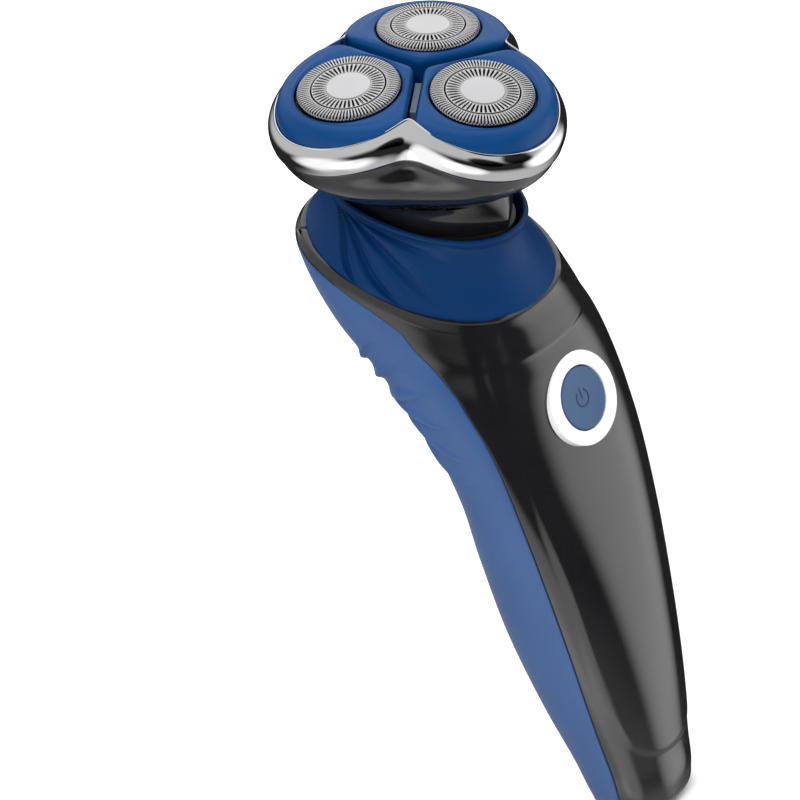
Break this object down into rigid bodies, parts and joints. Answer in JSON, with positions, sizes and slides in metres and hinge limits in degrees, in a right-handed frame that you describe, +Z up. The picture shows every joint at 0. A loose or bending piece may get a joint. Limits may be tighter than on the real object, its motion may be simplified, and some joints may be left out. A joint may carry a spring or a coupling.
{
  "type": "electric rotary shaver",
  "caption": "Cordless rotary shaver with a black and blue handle, a soft neck boot and a chrome banded tilting head of slotted steel combs.",
  "frame": {"origin": "centre of the charging socket's mouth at the foot of the handle", "axes": "+Z up along the handle, -Y the button side, +X to the right seen from behind the shaver"},
  "size_m": [0.0584, 0.0652, 0.178],
  "materials": {
    "black_gloss": "high gloss piano black",
    "black_satin": "fine satin black",
    "blue_rubber": "matt soft-touch rubber",
    "blue_boot": "matt silicone",
    "blue_satin": "satin moulded",
    "white_gloss": "gloss white",
    "chrome": "bright plated",
    "foil_steel": "ground steel",
    "steel": "plain zinc plated",
    "brass": "plain",
    "nylon": "natural nylon",
    "board": "green solder mask",
    "cell_wrap": "shrink sleeve",
    "grey_plastic": "moulded grey",
    "ferrite": "sintered magnet",
    "copper": "enamelled wire",
    "clear_lens": "clear"
  },
  "bodies": {
    "handle": {"front_shell": "black_gloss", "rear_shell": "black_satin", "grip_cover": "blue_rubber", "neck_collar": "black_gloss", "rear_cap": "black_gloss", "chassis": "grey_plastic", "board_screws": "steel", "circuit_board": "board", "tact_switch": "black_satin", "board_parts": "black_satin", "charge_light": "clear_lens", "battery_cell": "cell_wrap", "battery_tabs": "brass", "charging_socket": "black_satin", "socket_seal": "black_satin", "socket_contacts": "brass", "button_ring": "white_gloss", "button_seal": "black_satin", "neck_boot": "blue_boot"},
    "button": {"button_cap": "blue_satin"},
    "neck": {"neck_socket": "black_gloss", "motor_can": "steel", "motor_screws": "steel", "motor_magnets": "ferrite", "motor_end_cap": "grey_plastic", "motor_terminals": "brass", "neck_yoke": "grey_plastic"},
    "rotor": {"motor_shaft": "steel", "motor_armature": "copper", "drive_dog": "nylon"},
    "head": {"head_cup": "black_gloss", "gear_cover": "grey_plastic", "coupling_foot": "black_gloss"},
    "sun": {"sun_gear": "nylon"},
    "cutter_frame": {"chrome_band": "chrome", "pod_carrier": "grey_plastic"},
    "gear_front": {"drive_gear_front": "nylon"},
    "pod_front": {"pod_front": "blue_satin", "comb_front": "foil_steel", "comb_holder_front": "black_satin"},
    "cutter_front": {"cutter_hub_front": "nylon", "cutter_blades_front": "foil_steel"},
    "gear_right": {"drive_gear_right": "nylon"},
    "pod_right": {"pod_right": "blue_satin", "comb_right": "foil_steel", "comb_holder_right": "black_satin"},
    "cutter_right": {"cutter_hub_right": "nylon", "cutter_blades_right": "foil_steel"},
    "gear_left": {"drive_gear_left": "nylon"},
    "pod_left": {"pod_left": "blue_satin", "comb_left": "foil_steel", "comb_holder_left": "black_satin"},
    "cutter_left": {"cutter_hub_left": "nylon", "cutter_blades_left": "foil_steel"}
  },
  "joints": [
    {"name": "button_press", "type": "slide", "parent": "handle", "child": "button", "axis": [0, 0.9848, -0.1736], "range_m": [0, 0.0008], "stiffness_N_per_m": 400},
    {"name": "neck_tilt", "type": "hinge", "parent": "handle", "child": "neck", "pos_m": [0, 0.01286, 0.12992], "axis": [1, 0, 0], "range_deg": [-5, 5], "stiffness_Nm_per_rad": 1.2, "deforming": ["neck_boot"]},
    {"name": "motor_spin", "type": "hinge", "parent": "neck", "child": "rotor", "pos_m": [0, 0.0117, 0.13375], "axis": [0, -0.2924, 0.9563], "continuous": true},
    {"name": "head_pull_off", "type": "slide", "parent": "neck", "child": "head", "axis": [0, -0.2924, 0.9563], "range_m": [0, 0.03]},
    {"name": "sun_spin", "type": "hinge", "parent": "head", "child": "sun", "pos_m": [0, 0.00409, 0.15861], "axis": [0, -0.2924, 0.9563], "continuous": true},
    {"name": "cutter_frame_lift", "type": "slide", "parent": "head", "child": "cutter_frame", "axis": [0, -0.2924, 0.9563], "range_m": [0, 0.025]},
    {"name": "gear_front_spin", "type": "hinge", "parent": "head", "child": "gear_front", "pos_m": [0, -0.01053, 0.15446], "axis": [0, -0.2924, 0.9563], "continuous": true},
    {"name": "pod_front_tilt", "type": "hinge", "parent": "cutter_frame", "child": "pod_front", "pos_m": [0, -0.01295, 0.16389], "axis": [1, 0, 0], "range_deg": [-3, 3], "stiffness_Nm_per_rad": 0.12},
    {"name": "cutter_front_spin", "type": "hinge", "parent": "pod_front", "child": "cutter_front", "pos_m": [0, -0.01454, 0.16756], "axis": [0, -0.3971, 0.9178], "continuous": true},
    {"name": "gear_right_spin", "type": "hinge", "parent": "head", "child": "gear_right", "pos_m": [0.01316, 0.01127, 0.16112], "axis": [0, -0.2924, 0.9563], "continuous": true},
    {"name": "pod_right_tilt", "type": "hinge", "parent": "cutter_frame", "child": "pod_right", "pos_m": [0.01278, 0.00822, 0.17036], "axis": [-0.5, 0.8282, 0.2532], "range_deg": [-3, 3], "stiffness_Nm_per_rad": 0.12},
    {"name": "cutter_right_spin", "type": "hinge", "parent": "pod_right", "child": "cutter_right", "pos_m": [0.01316, 0.00727, 0.17422], "axis": [0.0965, -0.2373, 0.9666], "continuous": true},
    {"name": "gear_left_spin", "type": "hinge", "parent": "head", "child": "gear_left", "pos_m": [-0.01316, 0.01127, 0.16112], "axis": [0, -0.2924, 0.9563], "continuous": true},
    {"name": "pod_left_tilt", "type": "hinge", "parent": "cutter_frame", "child": "pod_left", "pos_m": [-0.01278, 0.00822, 0.17036], "axis": [-0.5, -0.8282, -0.2532], "range_deg": [-3, 3], "stiffness_Nm_per_rad": 0.12},
    {"name": "cutter_left_spin", "type": "hinge", "parent": "pod_left", "child": "cutter_left", "pos_m": [-0.01316, 0.00727, 0.17422], "axis": [-0.0965, -0.2373, 0.9666], "continuous": true}
  ],
  "couplings": [
    {"joint": "sun_spin", "follows": "motor_spin", "ratio": 1},
    {"joint": "gear_front_spin", "follows": "motor_spin", "ratio": -0.53846},
    {"joint": "cutter_front_spin", "follows": "motor_spin", "ratio": -0.53846},
    {"joint": "gear_right_spin", "follows": "motor_spin", "ratio": -0.53846},
    {"joint": "cutter_right_spin", "follows": "motor_spin", "ratio": -0.53846},
    {"joint": "gear_left_spin", "follows": "motor_spin", "ratio": -0.53846},
    {"joint": "cutter_left_spin", "follows": "motor_spin", "ratio": -0.53846}
  ]
}
